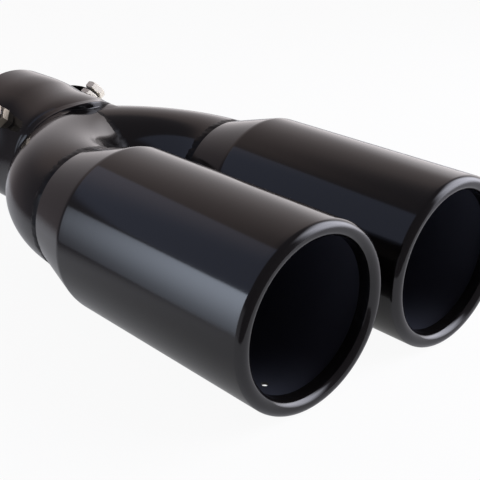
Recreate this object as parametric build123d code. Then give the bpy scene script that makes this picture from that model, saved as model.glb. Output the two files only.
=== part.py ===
from build123d import *
import math
import os

# Twin-outlet exhaust tip. The origin is the centre of the inlet's open end, +X runs from the inlet
# to the outlets, +Y is the left-hand side and +Z is up. All sizes are in millimetres and degrees.

# Outlet cans
can_diameter = 76.0
can_wall = 1.2
can_straight_length = 110.0  # from the mouth back to the shoulder
can_shoulder_length = 28.0
can_shoulder_blend = 10.0
can_spacing = 84.0  # between the two can axes
rim_roll_radius = 3.2
rim_return_length = 4.0  # the flange that the roll ends in, inside the mouth
drain_diameter = 3.0
drain_setback = 24.0  # behind the mouth

# Branch elbows
branch_diameter = 60.0
branch_wall = 1.5
branch_bend_radius = 66.0
branch_insert = 8.0  # the straight end that slips into the can
bend_overrun = 3.0  # each bend is made this much too long, then trimmed on the mid-plane

# Inlet pipe
inlet_bore = 70.0
inlet_wall = 1.2
inlet_length = 74.0  # to the tip of the nose, at the top and bottom
bell_length = 16.0  # straight part of the bell that slips over the car's pipe
bell_taper_length = 34.0
neck_reduction = 2.1  # how much smaller in radius the neck is than the bell
nose_mitre = 33.0  # slant of the front edge on each side of the nose
nose_radius = 20.0  # rounding of the nose, seen from above

# Welds
inlet_weld_width = 4.5
crotch_weld_radius = 2.5
can_weld_width = 4.5
can_weld_crown = 0.3  # how far its middle swells past the edge of the can
weld_recess = 0.4  # the inlet's weld lies this far below the pipe's surface
seam_gap = 0.1  # root gap between the two elbows

# Clamp bolts, with a weld nut and a strap under each head
bolt_diameter = 6.0
bolt_length = 12.0
head_across_flats = 10.0
head_height = 4.0
head_chamfer = 0.6
tip_chamfer = 0.6
bolt_x = 33.0
bolt_pair_angle = 104.0  # between the two bolts, round the pipe
bolt_pair_turn = 3.0  # the pair's middle, from straight up towards the right-hand side
head_gap = 0.5  # between the head and its strap
nut_across_flats = 10.0
nut_chamfer = 0.5
nut_stand = 2.2  # how far the nut's top is above the bell
strap_wall = 0.8
strap_width = 9.0
strap_tail = 20.0  # behind the bolt's axis
strap_foot = 4.0  # length of the tail that lies on the bell
strap_bend = 5.0  # radius where it climbs to the nut

# Clearances
fit_clearance = 0.05
bolt_hole_clearance = 0.3

# Places that follow from the sizes above
can_radius = can_diameter / 2
branch_radius = branch_diameter / 2
half_spacing = can_spacing / 2
bell_radius = inlet_bore / 2 + inlet_wall
neck_radius = bell_radius - neck_reduction
neck_x = bell_length + bell_taper_length
branch_turn = math.degrees(math.acos(1 - half_spacing / branch_bend_radius))
junction_x = inlet_length
can_rear_x = junction_x + branch_bend_radius * math.sin(math.radians(branch_turn))
shoulder_x = can_rear_x + can_shoulder_length
mouth_x = shoulder_x + can_straight_length
throat_radius = branch_radius + fit_clearance
passage_radius = neck_radius - inlet_wall - fit_clearance
nut_corner = nut_across_flats / math.sqrt(3)
nut_top = bell_radius + nut_stand
strap_top = nut_top + strap_wall
reach = 2 * mouth_x  # longer than anything in the part
sides = {"left": 1, "right": -1}


def bar(radius, x_from, x_to):
    """Solid round bar on the X axis."""
    disc = Plane((x_from, 0, 0), x_dir=(0, 1, 0), z_dir=(1, 0, 0)) * Circle(radius)
    return extrude(disc, amount=x_to - x_from)


def outlet_can():
    """Thin can on the X axis: coned shoulder, straight wall, and a mouth rolled in to a short flange."""
    roll_x = mouth_x - rim_roll_radius
    flange_x = roll_x - rim_return_length
    inner_radius = can_radius - can_wall
    rim_centre = can_radius - rim_roll_radius
    mouth_radius = can_radius - 2 * rim_roll_radius
    outer_start = (can_rear_x, throat_radius + can_wall)
    inner_start = (can_rear_x, throat_radius)
    outer = FilletPolyline(
        outer_start, (shoulder_x, can_radius), (roll_x, can_radius), radius=can_shoulder_blend
    )
    roll_outer = ThreePointArc((roll_x, can_radius), (mouth_x, rim_centre), (roll_x, mouth_radius))
    flange = Polyline(
        (roll_x, mouth_radius),
        (flange_x, mouth_radius),
        (flange_x, mouth_radius + can_wall),
        (roll_x, mouth_radius + can_wall),
    )
    roll_inner = ThreePointArc(
        (roll_x, mouth_radius + can_wall), (mouth_x - can_wall, rim_centre), (roll_x, inner_radius)
    )
    inner = FilletPolyline(
        (roll_x, inner_radius), (shoulder_x, inner_radius), inner_start, radius=can_shoulder_blend
    )
    rear = Line(inner_start, outer_start)
    can = revolve(make_face([outer, roll_outer, flange, roll_inner, inner, rear]), Axis.X)
    drain = Cylinder(drain_diameter / 2, can_radius, align=(Align.CENTER, Align.CENTER, Align.MAX))
    return can - Pos(mouth_x - drain_setback, 0, -rim_centre + rim_roll_radius) * drain


def elbow(side, section):
    """The section carried along one branch: the straight end in the can, then the bend to the mid-plane."""
    start = Plane((can_rear_x, side * half_spacing, 0), x_dir=(0, 1, 0), z_dir=(1, 0, 0))
    bend_centre = (can_rear_x, side * (half_spacing - branch_bend_radius), 0)
    outer_turn = math.degrees(
        math.acos((branch_bend_radius - half_spacing) / (branch_bend_radius + branch_radius))
    )
    bend = revolve(start * section, Axis(bend_centre, (0, 0, side)), outer_turn + bend_overrun)
    return extrude(start * section, amount=branch_insert) + bend


def own_half(side):
    """Everything on one side of the mid-plane, less half of the root gap."""
    block = Box(reach, reach, reach, align=(Align.CENTER, Align.MIN, Align.CENTER))
    return Rot(0, 0, 0 if side > 0 else 180) * Pos(0, seam_gap / 2, 0) * block


def branch_elbow(side):
    """Bent tube, trimmed on the mid-plane and opened where it stands inside the inlet's bore."""
    tube = elbow(side, Circle(branch_radius) - Circle(branch_radius - branch_wall))
    passage_end = inlet_length - inlet_weld_width
    return (tube & own_half(side)) - bar(passage_radius, 0, passage_end)


def pipe_edge(bell, neck, x_end):
    """One wall of the inlet in section: straight bell, two tangent arcs down to the neck, straight neck."""
    bell_end = (bell_length, bell)
    middle = (bell_length + bell_taper_length / 2, (bell + neck) / 2)
    down = TangentArc(bell_end, middle, tangent=(1, 0))
    level = TangentArc(middle, (neck_x, neck), tangent=down % 1)
    return [Line((0, bell), bell_end), down, level, Line((neck_x, neck), (x_end, neck))]


def pipe_bar():
    """The inlet's outside as a solid bar."""
    edges = pipe_edge(bell_radius, neck_radius, inlet_length)
    rim = Polyline((inlet_length, neck_radius), (inlet_length, 0), (0, 0), (0, bell_radius))
    return revolve(make_face(edges + [rim]), Axis.X)


def nose_block(ahead):
    """Block whose front is the inlet's mitred nose seen from above, moved ahead along X."""
    half = bell_radius + inlet_weld_width
    slope = math.tan(math.radians(nose_mitre))
    apex_cut = nose_radius * (1 / math.cos(math.radians(nose_mitre)) - 1)
    corner_x = inlet_length + apex_cut + ahead
    side_x = corner_x - slope * half
    nose = FilletPolyline((side_x, -half), (corner_x, 0), (side_x, half), radius=nose_radius)
    rear = Polyline((side_x, half), (-half, half), (-half, -half), (side_x, -half))
    return extrude(make_face([nose, rear]), amount=half, both=True)


def bolt_angles():
    """Turn of each bolt about the X axis, from straight up."""
    half_angle = bolt_pair_angle / 2
    return {"left": bolt_pair_turn - half_angle, "right": bolt_pair_turn + half_angle}


def at_bolt(name, shape):
    """A shape made for a bolt that points straight up, turned to its place round the pipe."""
    return Rot(bolt_angles()[name], 0, 0) * shape


def inlet_pipe():
    """Belled pipe with a fish-mouth front edge and a clearance hole for each bolt."""
    outer = pipe_edge(bell_radius, neck_radius, inlet_length)
    inner = pipe_edge(bell_radius - inlet_wall, neck_radius - inlet_wall, inlet_length)
    rear = Line((0, bell_radius), (0, bell_radius - inlet_wall))
    front = Line((inlet_length, neck_radius), (inlet_length, neck_radius - inlet_wall))
    pipe = revolve(make_face(outer + inner + [rear, front]), Axis.X) & nose_block(0)
    hole = Cylinder(
        bolt_diameter / 2 + bolt_hole_clearance, reach, align=(Align.CENTER, Align.CENTER, Align.MIN)
    )
    for name in sides:
        pipe = pipe - at_bolt(name, Pos(bolt_x, 0, 0) * hole)
    return pipe


def inlet_weld():
    """Band of weld from the fish-mouth edge to the elbows."""
    weld_end = inlet_length + inlet_weld_width
    band = bar(neck_radius - weld_recess, 0, weld_end) - bar(branch_radius, 0, weld_end)
    band = (band & nose_block(inlet_weld_width)) - nose_block(0)
    for side in sides.values():
        band = band - elbow(side, Circle(branch_radius))
    return band


def crotch_weld(band):
    """Bead along the seam of the two elbows: a half ellipse on the mid-plane, ahead of the inlet's weld."""
    bend_offset = branch_bend_radius - half_spacing
    crotch_x = can_rear_x - math.sqrt((branch_bend_radius - branch_radius) ** 2 - bend_offset**2)
    half_ellipse = EllipticalCenterArc(
        (junction_x, 0), crotch_x - junction_x, branch_radius, start_angle=-90, arc_size=180
    )
    seam = Plane.XZ * half_ellipse
    start = Plane(seam @ 0, z_dir=seam % 0)
    bead = sweep(start * Circle(crotch_weld_radius), seam) - nose_block(inlet_weld_width) - band
    for side in sides.values():
        bead = bead - elbow(side, Circle(branch_radius))
    return bead


def can_weld(side):
    """Ring of weld in the corner between an elbow and the rear edge of its can."""
    edge_radius = throat_radius + can_wall
    root_radius = branch_radius - can_wall
    front_x = can_rear_x
    rear_x = can_rear_x - can_weld_width
    edge = (front_x, edge_radius)
    toe = (rear_x, branch_radius - can_weld_crown)
    crown = ThreePointArc(edge, (rear_x + can_weld_width / 2, edge_radius + can_weld_crown), toe)
    root = Polyline(toe, (rear_x, root_radius), (front_x, root_radius), edge)
    ring = revolve(make_face([crown, root]), Axis.X)
    return Pos(0, side * half_spacing, 0) * ring - elbow(side, Circle(branch_radius))


def bolt_hole():
    """Close-fitting hole for a bolt that points straight up."""
    return Pos(bolt_x, 0, 0) * Cylinder(bolt_diameter / 2 + fit_clearance, reach)


def hexagon_bar(across_flats, height, corner_chamfer):
    """Upright hexagon bar with the corners of its top turned off."""
    hexagon = RegularPolygon(across_flats / 2, 6, major_radius=False)
    crown = Cylinder(across_flats / math.sqrt(3), height, align=(Align.CENTER, Align.CENTER, Align.MIN))
    crown = chamfer(crown.edges().group_by(Axis.Z)[-1], corner_chamfer)
    return extrude(hexagon, amount=height) & crown


def clamp_nut():
    """Weld nut for a bolt that points straight up, with its base shaped to the pipe."""
    base = math.sqrt(neck_radius**2 - nut_corner**2)
    blank = hexagon_bar(nut_across_flats, nut_top - base, nut_chamfer)
    return Pos(bolt_x, 0, base) * blank - pipe_bar() - bolt_hole()


def clamp_strap():
    """Strap for a bolt that points straight up: its tail hugs the bell and its round end lies on the nut."""
    half_width = strap_width / 2
    tail_x = bolt_x - strap_tail
    end_x = bolt_x + half_width
    tail_edge = math.sqrt(bell_radius**2 - half_width**2)
    climb_from = tail_x + strap_foot
    climb_to = bolt_x - nut_corner
    under = [(tail_x, tail_edge), (climb_from, tail_edge), (climb_to, nut_top), (end_x, nut_top)]
    tail_top = bell_radius + strap_wall
    over = [(end_x, strap_top), (climb_to, strap_top), (climb_from, tail_top), (tail_x, tail_top)]
    edges = [
        FilletPolyline(*under, radius=strap_bend),
        Line(under[-1], over[0]),
        FilletPolyline(*over, radius=strap_bend),
        Line(over[-1], under[0]),
    ]
    strip = extrude(Plane.XZ * make_face(edges), amount=half_width, both=True)
    plan = Pos(bolt_x, 0, 0) * Circle(half_width)
    plan = plan + Pos((tail_x + bolt_x) / 2, 0, 0) * Rectangle(strap_tail, strap_width)
    return (strip & extrude(plan, amount=reach)) - pipe_bar() - bolt_hole()


def clamp_bolt():
    """Hexagon-head bolt that points straight up: head above, plain shank through strap, nut and pipe."""
    seat = strap_top + head_gap
    head = hexagon_bar(head_across_flats, head_height, head_chamfer)
    shank = Cylinder(bolt_diameter / 2, bolt_length, align=(Align.CENTER, Align.CENTER, Align.MAX))
    shank = chamfer(shank.edges().group_by(Axis.Z)[0], tip_chamfer)
    return Pos(bolt_x, 0, seat) * (head + shank)


os.makedirs("parts", exist_ok=True)
band = inlet_weld()
export_step(inlet_pipe(), "parts/inlet_pipe.step")
export_step(band, "parts/inlet_weld.step")
export_step(crotch_weld(band), "parts/crotch_weld.step")
for name, side in sides.items():
    export_step(branch_elbow(side), f"parts/branch_elbow_{name}.step")
    export_step(Pos(0, side * half_spacing, 0) * outlet_can(), f"parts/outlet_can_{name}.step")
    export_step(can_weld(side), f"parts/can_weld_{name}.step")
    export_step(at_bolt(name, clamp_nut()), f"parts/clamp_nut_{name}.step")
    export_step(at_bolt(name, clamp_strap()), f"parts/clamp_tab_{name}.step")
    export_step(at_bolt(name, clamp_bolt()), f"parts/clamp_bolt_{name}.step")
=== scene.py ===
import math

import bpy
import numpy as np
from mathutils import Matrix, Vector


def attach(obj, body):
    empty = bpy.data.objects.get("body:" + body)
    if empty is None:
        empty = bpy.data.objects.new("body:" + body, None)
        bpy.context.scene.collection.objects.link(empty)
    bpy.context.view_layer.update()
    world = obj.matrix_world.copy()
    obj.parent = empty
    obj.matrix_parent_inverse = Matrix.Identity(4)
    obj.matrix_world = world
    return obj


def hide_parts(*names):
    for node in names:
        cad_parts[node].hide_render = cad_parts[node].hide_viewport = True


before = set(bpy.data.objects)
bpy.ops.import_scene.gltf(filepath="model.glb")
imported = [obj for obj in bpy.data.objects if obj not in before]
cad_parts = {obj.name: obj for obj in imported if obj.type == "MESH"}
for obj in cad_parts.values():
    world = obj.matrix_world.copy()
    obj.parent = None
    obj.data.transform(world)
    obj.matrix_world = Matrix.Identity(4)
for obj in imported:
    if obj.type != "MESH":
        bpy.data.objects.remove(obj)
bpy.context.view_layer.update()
scene = bpy.context.scene

# Inlet pipe
# Mild steel tube, belled at the back so that it slips over the car's own pipe, and cut to a fish
# mouth at the front for the two elbows. Sprayed gloss black and baked, with the rest of the pipework.

mm = 0.001
bell_radius = 36.2 * mm
neck_radius = 34.1 * mm
lip_radius = 33.1 * mm
inlet_wall = 1.2 * mm
bell_end = 16.0 * mm
neck_start = 50.0 * mm
dressed_from = 0.35
nose_x = 74.0 * mm
nose_radius = 20.0 * mm
nose_mitre = math.radians(33.0)
lip_round = 0.45 * mm
bolt_x = 33.0 * mm
bolt_angles = {"left": math.radians(41.0), "right": math.radians(145.0)}
bolt_hole_radius = 3.3 * mm
hole_start = 20.0 * mm
hole_end = 50.0 * mm
around_pipe = 320
bell_rows = 33
neck_rows = 12
lip_rows = 5
crease = 38.0


def turns(count):
    """Angles that go once round, evenly spaced, without repeating the first."""
    return np.arange(count) * (2 * math.pi / count)


def lip_x(y):
    """Front edge of the inlet seen from above: an arc at the nose that runs straight on down each side."""
    across = np.abs(y)
    arc_end = nose_radius * math.sin(nose_mitre)
    arc = nose_x - nose_radius + np.sqrt(np.maximum(nose_radius**2 - across**2, 0.0))
    corner_x = nose_x + nose_radius * (1 / math.cos(nose_mitre) - 1)
    return np.where(across < arc_end, arc, corner_x - math.tan(nose_mitre) * across)


def bell_curve(x):
    """Radius along the bell: level, then two equal arcs that turn in and level out again at the neck."""
    half = (neck_start - bell_end) / 2
    drop = bell_radius - neck_radius
    bend = (half**2 + (drop / 2) ** 2) / drop
    rear = np.clip(x - bell_end, 0.0, half)
    front = np.clip(neck_start - x, 0.0, half)
    falling = bell_radius - bend + np.sqrt(bend**2 - rear**2)
    levelling = neck_radius + bend - np.sqrt(bend**2 - front**2)
    return np.where(x < bell_end + half, falling, levelling)


def neck_curve(share):
    """Radius along the neck by its share from back to lip: level, then dressed down along a parabola."""
    dressed = np.maximum((share - dressed_from) / (1 - dressed_from), 0.0)
    return neck_radius - (neck_radius - lip_radius) * dressed**2


def round_x(x, radius, angle, centre_y=0.0):
    """Points at each (x, radius) carried round a line along X to each angle: (x, r cos a, r sin a)."""
    x, radius, angle = np.broadcast_arrays(x, radius, angle)
    return np.stack([x, centre_y + radius * np.cos(angle), radius * np.sin(angle)], axis=-1)


def inlet_wall_rows(inset):
    """One wall of the inlet, rows from the bell to the lip: x runs on past the neck to the fish mouth."""
    angle = turns(around_pipe)[None]
    bell_x = np.concatenate([[0.0], np.linspace(bell_end, neck_start, bell_rows)])[:, None]
    bell = round_x(bell_x, bell_curve(bell_x) - inset, angle)
    share = np.linspace(0.0, 1.0, neck_rows + 1)[1:, None]
    end = lip_x((lip_radius - inset) * np.cos(angle)) - lip_round
    neck = round_x(neck_start + (end - neck_start) * share, neck_curve(share) - inset, angle)
    return np.concatenate([bell, neck])


def inlet_lip_rows():
    """Rounded front edge: a half round of the lip's radius, from the outer wall over to the inner one."""
    angle = turns(around_pipe)[None]
    turn = np.linspace(0.0, math.pi / 2, lip_rows + 1)[1:, None]
    outer_radius = lip_radius - lip_round * (1 - np.cos(turn))
    inner_radius = lip_radius - inlet_wall + lip_round * (1 - np.cos(turn))
    outer = lip_x(lip_radius * np.cos(angle)) - lip_round * (1 - np.sin(turn))
    inner = lip_x((lip_radius - inlet_wall) * np.cos(angle)) - lip_round * (1 - np.sin(turn))
    return np.concatenate([round_x(outer, outer_radius, angle), round_x(inner, inner_radius, angle)[::-1]])


def add_mesh(name, vertices, faces, sharp):
    """Mesh object with smooth faces, kept sharp where two meet at more than an angle in degrees."""
    mesh = bpy.data.meshes.new(name)
    mesh.from_pydata(vertices, [], faces)
    mesh.shade_smooth()
    mesh.set_sharp_from_angle(angle=math.radians(sharp))
    made = bpy.data.objects.new(name, mesh)
    scene.collection.objects.link(made)
    return made


def faces_out(vertices, quads):
    """Whether quads face outwards, told by the sign of the volume that they hold."""
    corners = vertices[quads] - vertices.mean(axis=0)
    cross = np.cross(corners[:, 2] - corners[:, 0], corners[:, 3] - corners[:, 1])
    return np.sum(corners.mean(axis=1) * cross) > 0


def ring_shape(name, points, sharp=crease):
    """Mesh object of a ring's skin: a grid of points that is joined up both ways round."""
    rows, columns = points.shape[:2]
    index = np.arange(rows * columns).reshape(rows, columns)
    ahead = np.roll(index, -1, axis=0)
    grid = np.stack([index, ahead, np.roll(ahead, -1, axis=1), np.roll(index, -1, axis=1)], axis=-1)
    quads = grid.reshape(-1, 4)
    vertices = points.reshape(-1, 3)
    return add_mesh(name, vertices, quads if faces_out(vertices, quads) else quads[:, ::-1], sharp)


def rod(start, end, radius, corners=48):
    """Plain round bar between two points, used as a drill: two rings of points and an end face on each."""
    along = (Vector(end) - Vector(start)).normalized()
    first = along.orthogonal().normalized()
    second = along.cross(first)
    angle = turns(corners)[:, None]
    ring = radius * (np.cos(angle) * np.array(first) + np.sin(angle) * np.array(second))
    points = np.concatenate([ring + np.array(start), ring + np.array(end)])
    low = np.arange(corners)
    quads = np.stack([low, np.roll(low, -1), np.roll(low, -1) + corners, low + corners], axis=-1)
    ends = [low[::-1].tolist(), (low + corners).tolist()]
    return add_mesh("drill", points, quads.tolist() + ends, crease)


def drill(piece, start, end, radius):
    """Takes a round hole out of a piece, from start to end, and keeps the result as its mesh."""
    bit = rod(start, end, radius)
    cut = piece.modifiers.new("drill", "BOOLEAN")
    cut.operation = "DIFFERENCE"
    cut.solver = "EXACT"
    cut.object = bit
    drilled = bpy.data.meshes.new_from_object(piece.evaluated_get(bpy.context.evaluated_depsgraph_get()))
    piece.modifiers.clear()
    piece.data = drilled
    drilled.name = piece.name
    drilled.shade_smooth()
    drilled.set_sharp_from_angle(angle=math.radians(crease))
    bpy.data.objects.remove(bit)


class Wire:
    """A socket in a node tree. Sums, differences and products of wires and numbers add Math nodes."""

    def __init__(self, tree, socket=None):
        self.tree = tree
        self.socket = socket

    def node(self, kind, settings, inputs, output=0):
        """Adds any node: its settings first, then the value or the link of each socket that is named."""
        made = self.tree.nodes.new(kind)
        for key, value in settings.items():
            setattr(made, key, value)
        for key, value in inputs.items():
            if isinstance(value, Wire):
                self.tree.links.new(value.socket, made.inputs[key])
            else:
                made.inputs[key].default_value = value
        return Wire(self.tree, made.outputs[output] if made.outputs else None)

    def math(self, operation, first, second):
        """Adds a Math node that works out an operation on two wires or numbers."""
        return self.node("ShaderNodeMath", {"operation": operation}, {0: first, 1: second})

    def __add__(self, other):
        return self.math("ADD", self, other)

    def __radd__(self, other):
        return self.math("ADD", other, self)

    def __sub__(self, other):
        return self.math("SUBTRACT", self, other)

    def __rsub__(self, other):
        return self.math("SUBTRACT", other, self)

    def __mul__(self, other):
        return self.math("MULTIPLY", self, other)

    def __rmul__(self, other):
        return self.math("MULTIPLY", other, self)


def new_finish(name):
    """Empty node material, and a wire to build it with."""
    finish = bpy.data.materials.new(name)
    finish.use_nodes = True
    finish.node_tree.nodes.clear()
    return finish, Wire(finish.node_tree)


def clouds(wire, scale, detail, stretch=(1.0, 1.0, 1.0)):
    """Soft noise from 0 to 1 on the piece's own coordinates, with about scale lumps to the metre."""
    place = wire.node("ShaderNodeTexCoord", {}, {}, "Object")
    stretched = wire.node("ShaderNodeMapping", {}, {"Vector": place, "Scale": stretch})
    return wire.node("ShaderNodeTexNoise", {}, {"Vector": stretched, "Scale": scale, "Detail": detail})


def mix_colour(wire, share, first, second):
    """One colour going over into another by a share from 0 to 1."""
    return wire.node("ShaderNodeMix", {"data_type": "RGBA"}, {0: share, 6: first, 7: second}, 2)


tone_scale = 45.0
dullness_scale = 90.0
peel_scale = 420.0
streak_scale = 160.0
round_the_axis = (1.0, 0.02, 0.02)


def paint(name, dark, pale, dullness, dullness_range, peel_depth, streak_depth=0.0, sheen=0.5):
    """Sprayed paint: two near tones in clouds, gloss that wanders a little, and a fine orange peel.

    Streaks are rings round the X axis, as a spinning tool leaves them in the sheet under the paint.
    """
    finish, wire = new_finish(name)
    colour = mix_colour(wire, clouds(wire, tone_scale, detail=3.0), dark, pale)
    roughness = dullness + dullness_range * clouds(wire, dullness_scale, detail=2.0)
    peel = peel_depth * clouds(wire, peel_scale, detail=2.0)
    streaks = streak_depth * clouds(wire, streak_scale, detail=3.0, stretch=round_the_axis)
    relief = {"Strength": 1.0, "Distance": 1.0, "Height": peel + streaks}
    surface = {
        "Base Color": colour,
        "Roughness": roughness,
        "IOR": 1.5,
        "Specular IOR Level": sheen,
        "Normal": wire.node("ShaderNodeBump", {}, relief),
    }
    coat = wire.node("ShaderNodeBsdfPrincipled", {}, surface)
    wire.node("ShaderNodeOutputMaterial", {}, {"Surface": coat})
    return finish


def fit(piece, finishes, body, slot, *nodes):
    """Gives a piece its finishes and its body, and hides the model's parts for the nodes it stands for. The
    slot is not used.
    """
    for finish in finishes:
        piece.data.materials.append(finish)
    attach(piece, body)
    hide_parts(*nodes)


warm_black = (0.0035, 0.003, 0.003, 1)
warm_black_worn = (0.005, 0.0045, 0.0042, 1)
gloss_black = paint(
    "gloss black paint",
    warm_black,
    warm_black_worn,
    dullness=0.1,
    dullness_range=0.03,
    peel_depth=0.004 * mm,
)

inlet_points = np.concatenate([inlet_wall_rows(0.0), inlet_lip_rows(), inlet_wall_rows(inlet_wall)[::-1]])
inlet = ring_shape("inlet_tube", inlet_points)
axis_point = np.array([bolt_x, 0.0, 0.0])
for bolt_angle in bolt_angles.values():
    outward = np.array([0.0, math.cos(bolt_angle), math.sin(bolt_angle)])
    drill(inlet, axis_point + hole_start * outward, axis_point + hole_end * outward, bolt_hole_radius)
fit(inlet, [gloss_black], "tip", "black_paint", "inlet_pipe")

# Branch elbows
# Two mandrel-bent tubes, cut where they meet on the middle plane and opened into the inlet's bore, so
# that the gas splits without a step. Their straight ends slip into the cans.

branch_radius = 30.0 * mm
branch_wall = 1.5 * mm
bend_radius = 66.0 * mm
half_spacing = 42.0 * mm
bend_offset = bend_radius - half_spacing
can_rear_x = nose_x + math.sqrt(bend_radius**2 - bend_offset**2)
branch_insert = 8.0 * mm
seam_gap = 0.1 * mm
passage_radius = 32.85 * mm
passage_end = 69.5 * mm
around_branch = 256
along_branch = 73
sides = {"left": 1, "right": -1}


def elbow_wall_rows(side, radius):
    """One wall of an elbow: a circle carried round the bend until it meets the middle plane or the bore.

    At turn t and angle a round the tube, with reach = bend radius + r cos a, the point is
    (rear - reach sin t, reach cos t - bend offset, r sin a).
    """
    angle = turns(around_branch)[None]
    reach = bend_radius + radius * np.cos(angle)
    z = radius * np.sin(angle)
    to_middle = np.arccos((bend_offset + seam_gap / 2) / reach)
    bore_side = np.sqrt(np.maximum(passage_radius**2 - z**2, 0.0))
    to_bore = np.arccos(np.clip((bend_offset + bore_side) / reach, -1.0, 1.0))
    to_passage = np.arcsin(np.clip((can_rear_x - passage_end) / reach, -1.0, 1.0))
    end = np.minimum(to_middle, np.maximum(to_bore, to_passage))
    bend_turn = end * np.linspace(0.0, 1.0, along_branch)[:, None]
    turn = np.concatenate([np.zeros((2, around_branch)), bend_turn])
    ahead = np.concatenate([[branch_insert, branch_insert / 2], np.zeros(along_branch)])[:, None]
    x = can_rear_x + ahead - reach * np.sin(turn)
    y = side * (reach * np.cos(turn) - bend_offset)
    return np.stack([x, y, np.broadcast_to(z, x.shape)], axis=-1)


for name, side in sides.items():
    outer_wall = elbow_wall_rows(side, branch_radius)
    inner_wall = elbow_wall_rows(side, branch_radius - branch_wall)
    elbow = ring_shape(f"elbow_{name}", np.concatenate([outer_wall, inner_wall[::-1]]))
    fit(elbow, [gloss_black], "tip", "black_paint", f"branch_elbow_{name}")

# Outlet cans
# Two spun steel cans, each coned in at the back to the elbow and rolled in at the mouth to a short
# flange. The outside is gloss black like the pipework; the inside only took a dusting and stays matt.

can_radius = 38.0 * mm
can_wall = 1.2 * mm
can_throat_radius = 30.05 * mm
can_edge_radius = 30.4 * mm
shoulder_length = 28.0 * mm
shoulder_blend = 10.0 * mm
straight_length = 110.0 * mm
shoulder_x = can_rear_x + shoulder_length
mouth_x = shoulder_x + straight_length
rim_roll = 3.2 * mm
rim_return = 4.0 * mm
mouth_radius = can_radius - 2 * rim_roll
flange_x = mouth_x - rim_roll - rim_return
drain_radius = 1.5 * mm
drain_setback = 24.0 * mm
drain_reach = np.array([0.0, 0.0, 4.0 * mm])
around_can = 384
cone_rows = 12
blend_rows = 13
straight_rows = 40
outer_roll_rows = 32
inner_roll_rows = 16

spun_black = paint(
    "gloss black on spun cans",
    warm_black,
    warm_black_worn,
    dullness=0.1,
    dullness_range=0.02,
    peel_depth=0.003 * mm,
    streak_depth=0.004 * mm,
)
# Matt black whose colour is lifted to a blue grey: painted light for the light that reaches inside the cans.
matt_inside_painted_light = paint(
    "matt black inside, painted lighter",
    (0.044, 0.048, 0.062, 1),
    (0.058, 0.062, 0.08, 1),
    dullness=0.5,
    dullness_range=0.12,
    peel_depth=0.03 * mm,
    sheen=0.12,
)


def can_wall_profile(edge_radius, inset):
    """One wall in section from the back to the roll: a cone, a blend of set radius, then straight."""
    start = np.array([can_rear_x, edge_radius])
    corner = np.array([shoulder_x, can_radius - inset])
    slope = math.atan2(corner[1] - start[1], corner[0] - start[0])
    reach = shoulder_blend * math.tan(slope / 2)
    turn = np.linspace(slope, 0.0, blend_rows)
    blend_x = shoulder_x + reach - shoulder_blend * np.sin(turn)
    blend_radius = can_radius - inset - shoulder_blend * (1 - np.cos(turn))
    blend = np.stack([blend_x, blend_radius], axis=-1)
    cone = start + (blend[0] - start) * np.linspace(0.0, 1.0, cone_rows + 1)[:-1, None]
    straight_x = np.linspace(shoulder_x + reach, mouth_x - rim_roll, straight_rows + 1)[1:]
    straight = np.stack([straight_x, np.full_like(straight_x, can_radius - inset)], axis=-1)
    return np.concatenate([cone, blend, straight])


def roll_profile(inset, rows):
    """One wall of the rolled mouth in section: a half circle from the can's wall in to the flange."""
    turn = np.linspace(0.0, math.pi, rows + 1)[1:]
    x = mouth_x - rim_roll + (rim_roll - inset) * np.sin(turn)
    radius = can_radius - rim_roll + (rim_roll - inset) * np.cos(turn)
    return np.stack([x, radius], axis=-1)


outside = np.concatenate([can_wall_profile(can_edge_radius, 0.0), roll_profile(0.0, outer_roll_rows)])
flange = np.array([[flange_x, mouth_radius], [flange_x, mouth_radius + can_wall]])
inside_wall = can_wall_profile(can_throat_radius, can_wall)
inside = np.concatenate([inside_wall, roll_profile(can_wall, inner_roll_rows)])
can_profile = np.concatenate([outside, flange, inside[::-1]])
row_inside = np.arange(len(can_profile)) >= len(outside)
face_inside = np.repeat(row_inside, around_can).astype(np.int32)

for name, side in sides.items():
    can_y = side * half_spacing
    can_points = round_x(can_profile[:, :1], can_profile[:, 1:], turns(around_can)[None], can_y)
    can = ring_shape(f"can_{name}", can_points)
    can.data.polygons.foreach_set("material_index", face_inside)
    drain = np.array([mouth_x - drain_setback, can_y, -can_radius])
    drill(can, drain - drain_reach, drain + drain_reach, drain_radius)
    fit(can, [spun_black, matt_inside_painted_light], "tip", "black_paint", f"outlet_can_{name}")

# Welds
# Runs of weld from a wire-fed torch, painted over: one laps the inlet's front edge and fills down to the
# elbows, one runs along the crotch between them, one goes round each can's rear edge.

weld_crease = 80.0
weld_sink = 0.1 * mm
weld_root = 0.8 * mm
skin_range = (5.0 * mm, 45.0 * mm)
skin_halvings = 40

weld_black = paint(
    "black paint over weld",
    (0.003, 0.0028, 0.003, 1),
    (0.005, 0.0048, 0.005, 1),
    dullness=0.1,
    dullness_range=0.05,
    peel_depth=0.008 * mm,
)
rough_black = paint(
    "thin paint over rough weld",
    (0.0025, 0.0025, 0.003, 1),
    (0.006, 0.006, 0.0068, 1),
    dullness=0.25,
    dullness_range=0.25,
    peel_depth=0.03 * mm,
    sheen=0.12,
)


def lumps(turn, seed):
    """Height from -1 to 1 along a run of weld: the sum of three waves, 17, 29 and 67 to the turn."""
    long = np.sin(17 * turn + seed)
    short = np.sin(29 * turn + 2 * seed)
    fine = np.sin(67 * turn + 3 * seed)
    return 0.5 * long + 0.35 * short + 0.15 * fine


def ease(share):
    """Smooth step from 0 to 1, level at both ends; what lies outside counts as its nearest end."""
    held = np.clip(share, 0.0, 1.0)
    return held * held * (3 - 2 * held)


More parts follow.
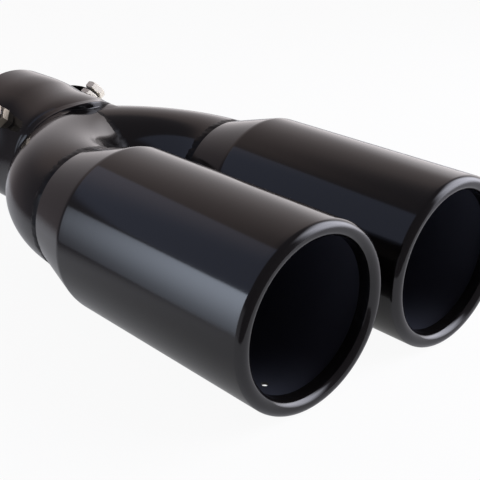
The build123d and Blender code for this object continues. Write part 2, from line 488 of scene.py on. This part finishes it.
def elbow_skin(x, angle):
    """Distance from the inlet's axis out to the elbows' skin, found by halving the interval it lies in."""
    low = np.full(np.broadcast_shapes(x.shape, angle.shape), skin_range[0])
    high = np.full_like(low, skin_range[1])
    for _ in range(skin_halvings):
        middle = (low + high) / 2
        reach = np.hypot(can_rear_x - x, middle * np.abs(np.cos(angle)) + bend_offset)
        within = (reach - bend_radius) ** 2 + (middle * np.sin(angle)) ** 2 < branch_radius**2
        low = np.where(within, middle, low)
        high = np.where(within, high, middle)
    return (low + high) / 2


around_weld = 960
lap_length = 4.6 * mm
lap_ripple = 0.3 * mm
crest_ahead = 1.6 * mm
crest_rise = 0.45 * mm
far_crest_rise = 0.1 * mm
crest_ripple = 0.05 * mm
drop_lean = 0.15
nose_fill = 0.12
side_fill = 0.9
groove_depth = 0.22 * mm
groove_ripple = 0.1 * mm
nose_ramp = 1.8 * mm
side_ramp = 6.0 * mm
far_ramp = 6.0 * mm
ramp_ripple = 0.4 * mm
nose_half = 0.2
nose_fade = 0.3
far_fade = 0.3
lap_rows = 11
drop_rows = 9
ramp_rows = 24


def inlet_weld_points():
    """Weld round the inlet's lip, worked out in section at each angle.

    A lap eases up from the neck to a crest just past the lip, and a quarter ellipse drops to a ledge. A
    ramp, whose height goes with the square of the share left to run, ends on the elbows' skin, and the
    root is buried. The ledge is low at the nose and high on its sides, the far side's ramp is long.
    """
    angle = turns(around_weld)[None]
    beside_nose = ease((np.abs(np.cos(angle)) - nose_half) / nose_fade)
    far_side = ease(np.cos(angle) / far_fade)
    lip = lip_x(lip_radius * np.cos(angle))
    lap_x = lip - lap_length - lap_ripple * lumps(angle, 1.0)
    crest_x = lip + crest_ahead
    rise = crest_rise + (far_crest_rise - crest_rise) * far_side + crest_ripple * lumps(angle, 3.0)
    crest = lip_radius + rise
    step_down = crest - elbow_skin(crest_x, angle)
    ledge_x = crest_x + drop_lean * step_down
    ledge_skin = elbow_skin(ledge_x, angle)
    ledge_height = (nose_fill + (side_fill - nose_fill) * beside_nose) * step_down
    groove = crest - groove_depth + groove_ripple * lumps(angle, 6.0)
    ledge = np.minimum(ledge_skin + ledge_height, groove)

    share = np.linspace(0.0, 1.0, lap_rows)[:, None]
    back_x = lap_x + (crest_x - lap_x) * share
    back_skin = neck_curve(np.minimum((back_x - neck_start) / (lip - neck_start), 1.0))
    back_radius = back_skin - weld_sink + (rise + weld_sink) * ease(share)

    turn = np.linspace(0.0, math.pi / 2, drop_rows + 1)[1:, None]
    drop_x = crest_x + (ledge_x - crest_x) * np.sin(turn)
    drop_radius = ledge + (crest - ledge) * np.cos(turn)

    run = np.linspace(0.0, 1.0, ramp_rows + 1)[1:, None]
    side_length = nose_ramp + (side_ramp - nose_ramp) * beside_nose
    ramp_x = ledge_x + (side_length + far_ramp * far_side + ramp_ripple * lumps(angle, 2.0)) * run
    ramp_skin = elbow_skin(ramp_x, angle)
    ramp_fill = ramp_skin - weld_sink * run + ledge_height * (1 - run) ** 2
    ramp_radius = np.minimum(ramp_fill, np.maximum(groove, ramp_skin - weld_sink))

    root_x = np.concatenate([ramp_x[-1:], ledge_x, lap_x])
    ledge_root = np.minimum(lip_radius - inlet_wall, ledge_skin - weld_root)
    lap_root = np.full_like(ledge_root, lip_radius - inlet_wall / 2)
    root_radius = np.concatenate([ramp_radius[-1:] - weld_root, ledge_root, lap_root])
    x = np.concatenate([back_x, drop_x, ramp_x, root_x])
    return round_x(x, np.concatenate([back_radius, drop_radius, ramp_radius, root_radius]), angle)


inlet_weld = ring_shape("inlet_weld_run", inlet_weld_points(), weld_crease)
fit(inlet_weld, [weld_black], "tip", "weld_paint", "inlet_weld")

seam_end = math.radians(84.0)
seam_rows = 361
fillet_half = 3.0 * mm
fillet_ripple = 0.25 * mm
fillet_columns = 17
under_share = 0.9
under_columns = 5


def crotch_weld_points():
    """Fillet along the elbows' seam, in section: a hollow parabola from one skin across to the other.

    Its underside is a V along the two skins, sunk in them. The seam is where an elbow's circle meets the
    middle plane, and the section stands square to it, on the valley's slope at that place.
    """
    angle = np.linspace(-seam_end, seam_end, seam_rows)[:, None]
    reach = bend_radius - branch_radius * np.cos(angle)
    seam_x = can_rear_x - np.sqrt(reach**2 - bend_offset**2)
    seam_z = branch_radius * np.sin(angle)
    run_x = np.gradient(seam_x[:, 0])[:, None]
    run_z = np.gradient(seam_z[:, 0])[:, None]
    out_x = run_z / np.hypot(run_x, run_z)
    out_z = -run_x / np.hypot(run_x, run_z)
    face_x = np.cos(angle) * (can_rear_x - seam_x) / reach
    face_y = np.cos(angle) * bend_offset / reach
    slope = face_y / (face_x * out_x + np.sin(angle) * out_z)

    share = np.linspace(-1.0, 1.0, fillet_columns)[None]
    hollow = slope * fillet_half / 2 * (1 + share**2)
    bumps = fillet_ripple * np.cos(angle) * lumps(angle, 4.0) * (1 - share**2)
    under_y = fillet_half * np.linspace(under_share, -under_share, under_columns)[None]
    under_out = slope * np.abs(under_y) - weld_root
    y = np.concatenate([fillet_half * share, under_y], axis=1)
    out = np.concatenate([hollow + bumps - weld_sink, under_out], axis=1)
    return np.stack(np.broadcast_arrays(seam_x + out * out_x, y, seam_z + out * out_z), axis=-1)


def tube_shape(name, points, sharp):
    """Mesh object of a tube, closed round its section, with a flat face over each of its two ends."""
    rows, columns = points.shape[:2]
    index = np.arange(rows * columns).reshape(rows, columns)
    beside = np.roll(index, -1, axis=1)
    quads = np.stack([index[:-1], index[1:], beside[1:], beside[:-1]], axis=-1).reshape(-1, 4)
    vertices = points.reshape(-1, 3)
    step = 1 if faces_out(vertices, quads) else -1
    ends = [index[0, ::step].tolist(), index[-1, ::-step].tolist()]
    return add_mesh(name, vertices, quads[:, ::step].tolist() + ends, sharp)


crotch_weld = tube_shape("crotch_weld_run", crotch_weld_points(), weld_crease)
fit(crotch_weld, [rough_black], "tip", "weld_paint", "crotch_weld")

can_weld_width = 5.6 * mm
can_weld_toe_ripple = 0.9 * mm
can_weld_lap = 0.2 * mm
can_weld_set = 0.15 * mm
can_weld_swell = 0.2 * mm
can_weld_swell_ripple = 0.22 * mm
around_can_weld = 720
can_weld_rows = 13


def can_weld_points(side):
    """Band round an elbow from the can's rear edge back to a ragged toe, swelling as half a sine wave.

    Each ring is shifted sideways with the elbow's bend, by bend radius times (1 - cos turn).
    """
    angle = turns(around_can_weld)[None]
    share = np.linspace(0.0, 1.0, can_weld_rows)[:, None]
    toe_x = can_rear_x - can_weld_width - can_weld_toe_ripple * lumps(angle, 5.0 + side)
    front_x = np.full_like(toe_x, can_rear_x + can_weld_lap)
    swell = can_weld_swell + can_weld_swell_ripple * lumps(angle, 7.0 + side)
    rise = (can_edge_radius - can_weld_set - branch_radius) * (1 - share)
    skin_radius = branch_radius - weld_sink * share + rise + swell * np.sin(math.pi * share)
    root_radius = np.full((2, around_can_weld), branch_radius - weld_root)
    x = np.concatenate([front_x * (1 - share) + toe_x * share, toe_x, front_x])
    points = round_x(x, np.concatenate([skin_radius, root_radius]), angle)
    turn = np.arcsin(np.maximum(can_rear_x - x, 0.0) / bend_radius)
    points[..., 1] += side * (half_spacing - bend_radius * (1 - np.cos(turn)))
    return points


for name, side in sides.items():
    can_weld = ring_shape(f"can_weld_run_{name}", can_weld_points(side), weld_crease)
    fit(can_weld, [rough_black], "tip", "weld_paint", f"can_weld_{name}")

# Weld nuts
# Zinc-plated M6 nuts on the taper of the bell, one over each bolt hole: cold forged, with their base
# shaped to the pipe and their top corners turned off.

nut_flat = 5.0 * mm
nut_face = 4.7 * mm
nut_stand = 2.2 * mm
nut_top = bell_radius + nut_stand
nut_bore_radius = 3.05 * mm
nut_depths = np.array([2.0, 1.0, 0.6, 0.5, 0.4, 0.3, 0.2, 0.1, 0.0])[:, None] * mm
chamfer_slope = math.tan(math.radians(60.0))
around_screw = 96
screw_crease = 28.0
screw_angle = turns(around_screw)[None]
hexagon = 1 / np.cos(np.mod(screw_angle, math.pi / 3) - math.pi / 6)

plate_tone_scale = 300.0
plate_dullness_scale = 900.0
plate_dullness_range = 0.18
plate_grain_scale = 1500.0
plate_grain_depth = 0.012 * mm


def plating(name, dark, pale, dullness):
    """Zinc plate: a metal in two near tones, clouded finely, with a fine grain."""
    finish, wire = new_finish(name)
    grain = clouds(wire, plate_grain_scale, detail=3.0)
    relief = {"Strength": 1.0, "Distance": plate_grain_depth, "Height": grain}
    surface = {
        "Base Color": mix_colour(wire, clouds(wire, plate_tone_scale, detail=3.0), dark, pale),
        "Metallic": 1.0,
        "Roughness": dullness + plate_dullness_range * clouds(wire, plate_dullness_scale, detail=2.0),
        "Normal": wire.node("ShaderNodeBump", {}, relief),
    }
    plate = wire.node("ShaderNodeBsdfPrincipled", {}, surface)
    wire.node("ShaderNodeOutputMaterial", {}, {"Surface": plate})
    return finish


# One zinc plating in two copies: the left bolt and nut get a colour painted lighter, a painted highlight,
# and the right bolt and nut get a colour painted darker, painted shade.
zinc = {
    "left": plating("zinc plate painted lighter", (0.9, 0.84, 0.71, 1), (0.97, 0.94, 0.84, 1), dullness=0.5),
    "right": plating("zinc plate painted darker", (0.3, 0.26, 0.2, 1), (0.46, 0.41, 0.33, 1), dullness=0.5),
}


def at_bolt(name, along, across, out):
    """Points given along the pipe from a bolt's axis, across it, and out from the inlet's axis."""
    angle = bolt_angles[name]
    along, across, out = np.broadcast_arrays(along, across, out)
    y = out * math.cos(angle) - across * math.sin(angle)
    z = out * math.sin(angle) + across * math.cos(angle)
    return np.stack([bolt_x + along, y, z], axis=-1)


def nut_points(name):
    """Hexagon from the pipe's skin up to a chamfered top, then the bore's wall back down to the skin.

    The hexagon is flat / cos a, with a measured from the nearest flat, and the chamfer is a cone round it.
    The skin is the inlet's circle at that place along the bell, root of (radius squared - across squared).
    """
    wall = np.minimum(nut_flat * hexagon, nut_face + chamfer_slope * nut_depths)
    bore = np.full((2, around_screw), nut_bore_radius)
    radius = np.concatenate([nut_flat * hexagon, wall, bore])
    along = radius * np.cos(screw_angle)
    across = radius * np.sin(screw_angle)
    skin = np.sqrt(bell_curve(bolt_x + along) ** 2 - across**2) - weld_sink
    wall_out = np.broadcast_to(nut_top - nut_depths, wall.shape)
    bore_out = np.full((1, around_screw), nut_top)
    return at_bolt(name, along, across, np.concatenate([skin[:1], wall_out, bore_out, skin[-1:]]))


for name in bolt_angles:
    nut = ring_shape(f"nut_{name}", nut_points(name), screw_crease)
    fit(nut, [zinc[name]], "tip", "plated_steel", f"clamp_nut_{name}")

# Clamp straps
# Short strips of black sheet steel, one at each bolt: the tail hugs the bell and is spot welded to it,
# then the strip climbs to the nut and its round end lies on top, under the bolt's head.

strap_wall = 0.8 * mm
strap_half_width = 4.5 * mm
strap_tail = 20.0 * mm
strap_foot = 4.0 * mm
strap_climb = strap_tail - strap_foot - 2 * nut_flat / math.sqrt(3)
strap_top = nut_top + strap_wall
strap_tip_share = 0.97
strap_edge_power = 0.25
strap_face_power = 0.5
strap_rows = 40
strap_tip_rows = 25
around_strap = 48
strap_crease = 50.0

# The straps' satin black is lifted to a brownish grey: a painted sheen that stands in for the light on their
# tops.
strap_black_painted_sheen = paint(
    "satin black on straps with painted sheen",
    (0.018, 0.015, 0.013, 1),
    (0.036, 0.03, 0.026, 1),
    dullness=0.3,
    dullness_range=0.12,
    peel_depth=0.02 * mm,
)


def strap_points(name):
    """Flat section with rounded edges carried along the pipe: straight sides, then a half-round tip.

    The section is a circle whose cosine and sine are raised to small powers. Its height goes from the
    bell's circle over to the nut's top with the root of the share climbed.
    """
    tip_turn = np.linspace(0.0, math.pi / 2 * strap_tip_share, strap_tip_rows)
    straight = np.linspace(-strap_tail, 0.0, strap_rows + 1)[:-1]
    along = np.concatenate([straight, strap_half_width * np.sin(tip_turn)])[:, None]
    half_width = strap_half_width * np.concatenate([np.ones(strap_rows), np.cos(tip_turn)])[:, None]
    climb = np.sqrt(np.clip((along + strap_tail - strap_foot) / strap_climb, 0.0, 1.0))
    turn = turns(around_strap)[None]
    edge = np.sign(np.cos(turn)) * np.abs(np.cos(turn)) ** strap_edge_power
    face = np.sign(np.sin(turn)) * np.abs(np.sin(turn)) ** strap_face_power
    across = half_width * edge
    seated = np.sqrt(bell_radius**2 - across**2)
    out = seated * (1 - climb) + nut_top * climb + strap_wall / 2 * (1 + face)
    return at_bolt(name, along, across, out)


for name in bolt_angles:
    strap = tube_shape(f"strap_{name}", strap_points(name), strap_crease)
    through = at_bolt(name, 0.0, 0.0, np.array([bell_radius, bell_radius + 2 * nut_stand]))
    drill(strap, through[0], through[1], nut_bore_radius)
    fit(strap, [strap_black_painted_sheen], "tip", "tab_paint", f"clamp_tab_{name}")

# Clamp bolts
# Zinc-plated M6 screws with hexagon heads, cold forged and thread rolled to the head. Screwed in,
# they press on the car's pipe inside the bell and hold the tip on.

head_gap = 0.5 * mm
head_seat = strap_top + head_gap
head_height = 4.0 * mm
head_flat = 5.0 * mm
head_face = 4.75 * mm
head_bevel = 0.6 * mm
head_plain = 0.8 * mm
head_bevel_rows = 7
head_plain_rows = 4
dish_radii = np.array([3.6, 3.2])[:, None] * mm
dish_depths = np.array([0.0, 0.25])[:, None] * mm
bolt_length = 12.0 * mm
thread_pitch = 1.0 * mm
thread_crest = 3.0 * mm
thread_root = 2.5 * mm
thread_rows = 16
flank_slope = 1.5
flank_start = 0.2
tip_chamfer = 0.6 * mm


def screw_points(name):
    """Threaded shank from its tip up, then the head's hexagon, chamfered at both faces, and a dished top.

    The thread is deepest where height / pitch - angle / whole turn is half way between whole numbers.
    """
    shank_up = np.linspace(0.0, bolt_length, thread_rows * round(bolt_length / thread_pitch) + 1)[:, None]
    phase = np.mod(shank_up / thread_pitch - screw_angle / (2 * math.pi), 1.0)
    flank = np.clip(flank_slope * np.abs(2 * phase - 1) - flank_start, 0.0, 1.0)
    thread = thread_root + (thread_crest - thread_root) * flank
    shank = np.minimum(thread, thread_crest - tip_chamfer + shank_up)
    bevel = np.linspace(0.0, head_bevel, head_bevel_rows)
    plain = np.linspace(head_plain, head_height - head_plain, head_plain_rows)
    head_up = np.concatenate([bevel, plain, head_height - bevel[::-1]])[:, None]
    to_face = np.minimum(head_up, head_height - head_up)
    head = np.minimum(head_flat * hexagon, head_face + chamfer_slope * to_face)
    dish = np.broadcast_to(dish_radii, (len(dish_radii), around_screw))
    radius = np.concatenate([shank, head, dish])
    up = np.concatenate([shank_up - bolt_length, head_up, head_height - dish_depths])
    return at_bolt(name, radius * np.cos(screw_angle), radius * np.sin(screw_angle), head_seat + up)


for name in bolt_angles:
    screw = tube_shape(f"screw_{name}", screw_points(name), screw_crease)
    fit(screw, [zinc[name]], f"bolt_{name}", "plated_steel", f"clamp_bolt_{name}")

# Studio
# A white table that ends just short of the camera and fades out on the left, a large soft box on the
# right, a low strip on the left with a dim panel over it, and a room with one pale wall behind.

camera_azimuth = 45.78
camera_elevation = 22.03
camera_roll = math.radians(2.72)
camera_place = Vector((0.47018, -0.2739, 0.1527))


def direction(azimuth, elevation):
    """Unit vector from angles in degrees: azimuth from +X towards +Y, elevation above the horizon."""
    a = math.radians(azimuth)
    e = math.radians(elevation)
    return Vector((math.cos(a) * math.cos(e), math.sin(a) * math.cos(e), math.sin(e)))


camera_back = direction(camera_azimuth - 90, camera_elevation)
level = Vector((0, 0, 1)).cross(camera_back).normalized()
upright = camera_back.cross(level)
camera_right = math.cos(camera_roll) * level + math.sin(camera_roll) * upright
camera_up = math.cos(camera_roll) * upright - math.sin(camera_roll) * level
camera_turn = Matrix((camera_right, camera_up, camera_back)).transposed()
lens = bpy.data.cameras.new("camera")
lens.lens = 70.68
lens.sensor_width = 36.0
lens.clip_start = 0.01
camera = bpy.data.objects.new("camera", lens)
camera.matrix_world = Matrix.Translation(camera_place) @ camera_turn.to_4x4()
scene.collection.objects.link(camera)
scene.camera = camera

table_front = 0.355
table_size = 2.4
table_gap = 0.05 * mm
table_back = table_front - table_size
table_ends = np.array([table_front, table_front, table_back, table_back])
table_sides = np.array([-1, 1, 1, -1]) * table_size / 2
table_ahead = np.outer(table_ends, direction(camera_azimuth - 90, 0)[:2])
table_beside = np.outer(table_sides, direction(camera_azimuth, 0)[:2])
table_corners = np.column_stack([table_ahead + table_beside, np.full(4, -can_radius - table_gap)])
table = add_mesh("table", table_corners, [[0, 1, 2, 3]], crease)

table_grey = (0.72, 0.72, 0.73, 1)
table_white = (0.76, 0.76, 0.77, 1)
table_cloud_scale = 3.0
camera_share = 0.94
mirror_share = 0.33
table_left = -120
table_left_fade = (0.043, 0.143)
white = (1, 1, 1, 1)


def soft_step(wire, value, low, high):
    """Smooth step of a value, from 0 at low to 1 at high."""
    ends = {"Value": value, "From Min": low, "From Max": high}
    return wire.node("ShaderNodeMapRange", {"interpolation_type": "SMOOTHSTEP"}, ends)


def towards(wire, place, azimuth):
    """How far a place lies in the level direction of an azimuth."""
    ends = {0: place, 1: direction(azimuth, 0)}
    return wire.node("ShaderNodeVectorMath", {"operation": "DOT_PRODUCT"}, ends, "Value")


def ray(wire, kind):
    """1 for rays of a kind, such as those that come from the camera, and 0 for others."""
    return wire.node("ShaderNodeLightPath", {}, {}, kind)


white_top, top_wire = new_finish("white table top")
top_clouds = clouds(top_wire, table_cloud_scale, detail=2.0)
top_tone = mix_colour(top_wire, top_clouds, table_grey, table_white)
matt_top = top_wire.node("ShaderNodeBsdfDiffuse", {}, {"Color": top_tone})
lit_top = top_wire.node("ShaderNodeEmission", {}, {"Color": white, "Strength": 1.0})
mirrored = ray(top_wire, "Is Glossy Ray") + ray(top_wire, "Is Transmission Ray")
lit_share = camera_share * ray(top_wire, "Is Camera Ray") + mirror_share * mirrored
whole_top = top_wire.node("ShaderNodeMixShader", {}, {0: lit_share, 1: matt_top, 2: lit_top})
top_place = top_wire.node("ShaderNodeTexCoord", {}, {}, "Object")
left_share = soft_step(top_wire, towards(top_wire, top_place, table_left), *table_left_fade)
nothing = top_wire.node("ShaderNodeBsdfTransparent", {}, {})
faded_top = top_wire.node("ShaderNodeMixShader", {}, {0: left_share, 1: whole_top, 2: nothing})
top_wire.node("ShaderNodeOutputMaterial", {}, {"Surface": faded_top})
table.data.materials.append(white_top)


def soft_box(name, place, facing, size, colour, radiance, fades, foot=0.0):
    """Rectangular lamp facing a direction, given by how bright its face looks, that fades at its edges.

    The fades are shares of its width or height: at its left, right, bottom and top, as it faces. The
    foot is how bright the bottom still is, as a share.
    """
    lamp = bpy.data.lights.new(name, "AREA")
    lamp.shape = "RECTANGLE"
    lamp.size = size[0]
    lamp.size_y = size[1]
    lamp.energy = radiance * math.pi * size[0] * size[1]
    lamp.use_nodes = True
    lamp.node_tree.nodes.clear()
    wire = Wire(lamp.node_tree)
    face = wire.node("ShaderNodeNewGeometry", {}, {}, "Parametric")
    across = wire.node("ShaderNodeSeparateXYZ", {}, {0: face}, "X")
    upward = wire.node("ShaderNodeSeparateXYZ", {}, {0: face}, "Y")
    left, right, bottom, top = fades
    width_share = soft_step(wire, across, 0.0, left) * soft_step(wire, 1 - across, 0.0, right)
    foot_share = foot + (1 - foot) * soft_step(wire, upward, 0.0, bottom)
    share = width_share * foot_share * soft_step(wire, 1 - upward, 0.0, top)
    tone = mix_colour(wire, share, (0, 0, 0, 1), colour)
    glow = wire.node("ShaderNodeEmission", {}, {"Color": tone, "Strength": 1.0})
    wire.node("ShaderNodeOutputLight", {}, {"Surface": glow})
    made = bpy.data.objects.new(name, lamp)
    made.location = place
    made.rotation_euler = Vector(facing).to_track_quat("-Z", "Y").to_euler()
    made.visible_camera = False
    scene.collection.objects.link(made)


towards_key = direction(azimuth=57, elevation=30)
key_distance = 0.9
key_aim = Vector((0.22, -0.02, 0.0))
soft_box(
    "key",
    place=key_aim + key_distance * towards_key,
    facing=-towards_key,
    size=(1.18, 1.55),
    colour=(0.87, 0.88, 1.0, 1),
    radiance=6.6,
    fades=(0.36, 0.36, 0.42, 0.42),
)
strip_low = -0.14
strip_high = 0.206
soft_box(
    "strip",
    place=(-0.2175, -0.435, (strip_low + strip_high) / 2),
    facing=(0, 1, 0),
    size=(0.495, strip_high - strip_low),
    colour=(0.75, 0.84, 1.0, 1),
    radiance=5.8,
    fades=(1.0, 0.06, 0.95, 0.03),
    foot=0.22,
)
soft_box(
    "roof panel",
    place=(-0.023, -0.246, 0.235),
    facing=(0.014, 0.069, -0.375),
    size=(0.385, 0.38),
    colour=(0.53, 0.66, 1.0, 1),
    radiance=0.42,
    fades=(0.12, 0.2, 0.02, 0.02),
)

shade = (0.16, 0.145, 0.165, 1)
brown_wall = (0.43, 0.35, 0.34, 1)
pale_wall = (1.36, 1.28, 1.3, 1)
bright_wall = (1.8, 1.7, 1.74, 1)
bright_patch = (1.9, 1.8, 1.84, 1)
side_glow = (1.0, 1.0, 1.1, 1)
wall_fall = 1.6
brown_foot = 0.25
brown_starts = (0.25, 0.55)
brown_ends = (0.72, 0.85)
patch_strength = 0.6
patch_starts = (0.05, 0.2)
patch_ends = (0.4, 0.6)
side_strength = 0.4
side_ends = (0.16, 0.3)

room = bpy.data.worlds.new("studio room")
room.use_nodes = True
room.node_tree.nodes.clear()
scene.world = room
room_wire = Wire(room.node_tree)
sky = room_wire.node("ShaderNodeTexCoord", {}, {}, "Generated")
height = room_wire.node("ShaderNodeSeparateXYZ", {}, {0: sky}, "Z")


def between(azimuth, right_fade, left_fade):
    """Share that is 1 round an azimuth and fades out on each side, between two turns in degrees."""
    turn = room_wire.math("ARCTAN2", towards(room_wire, sky, azimuth + 90), towards(room_wire, sky, azimuth))
    risen = soft_step(room_wire, turn, math.radians(right_fade[0]), math.radians(right_fade[1]))
    fallen = soft_step(room_wire, turn, math.radians(left_fade[0]), math.radians(left_fade[1]))
    return risen * (1 - fallen)


brown_turn = between(azimuth=150, right_fade=(-50, -25), left_fade=(34, 60))
brown_rise = brown_foot + (1 - brown_foot) * soft_step(room_wire, height, *brown_starts)
brown_share = brown_turn * (1 - soft_step(room_wire, height, *brown_ends)) * brown_rise
brown_room = mix_colour(room_wire, brown_share, shade, brown_wall)

wall_turn = between(azimuth=105, right_fade=(-70, -20), left_fade=(30, 85))
above = room_wire.node("ShaderNodeMapRange", {}, {"Value": height, "From Min": 0.0, "From Max": 1.0})
wall_share = wall_turn * room_wire.math("POWER", 1 - above, wall_fall)
bright_share = between(azimuth=105, right_fade=(-50, -20), left_fade=(10, 32))
lit_wall = mix_colour(room_wire, bright_share, pale_wall, bright_wall)
walled_room = mix_colour(room_wire, wall_share, brown_room, lit_wall)

patch_turn = between(azimuth=112, right_fade=(-22, -8), left_fade=(8, 22))
patch_rise = soft_step(room_wire, height, *patch_starts)
patch_height = patch_rise * (1 - soft_step(room_wire, height, *patch_ends))
patch_share = patch_strength * patch_turn * patch_height
patched_room = mix_colour(room_wire, patch_share, walled_room, bright_patch)

side_turn = between(azimuth=-103, right_fade=(-30, -18), left_fade=(18, 32))
side_share = side_strength * side_turn * (1 - soft_step(room_wire, height, *side_ends))
lit_room = mix_colour(room_wire, side_share, patched_room, side_glow)

shown = mix_colour(room_wire, ray(room_wire, "Is Camera Ray"), lit_room, white)
backdrop = room_wire.node("ShaderNodeBackground", {}, {"Color": shown, "Strength": 1.0})
room_wire.node("ShaderNodeOutputWorld", {}, {"Surface": backdrop})

scene.view_settings.view_transform = "Standard"
